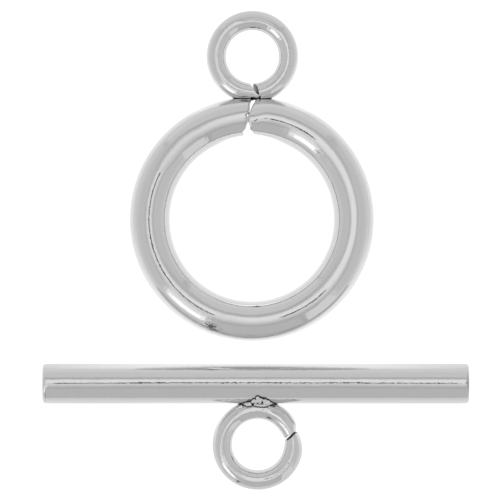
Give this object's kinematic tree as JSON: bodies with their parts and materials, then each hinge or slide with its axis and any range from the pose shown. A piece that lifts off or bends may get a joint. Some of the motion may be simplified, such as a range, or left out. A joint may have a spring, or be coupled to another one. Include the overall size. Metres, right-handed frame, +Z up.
{
  "type": "toggle clasp",
  "caption": "Toggle clasp in polished stainless steel: a split ring with a small soldered loop, and a straight bar with the same kind of loop, lying side by side.",
  "frame": {"origin": "middle of the underside of the two halves as they lie on a surface", "axes": "+Y from the bar half to the ring half, +X along the bar, +Z up from the surface"},
  "size_m": [0.0212, 0.024, 0.002],
  "materials": {
    "ring_steel": "mirror-polished stainless steel, unplated",
    "bar_steel": "mirror-polished stainless steel, unplated"
  },
  "bodies": {
    "root": {"toggle_ring": "ring_steel", "toggle_bar": "bar_steel"}
  },
  "joints": []
}
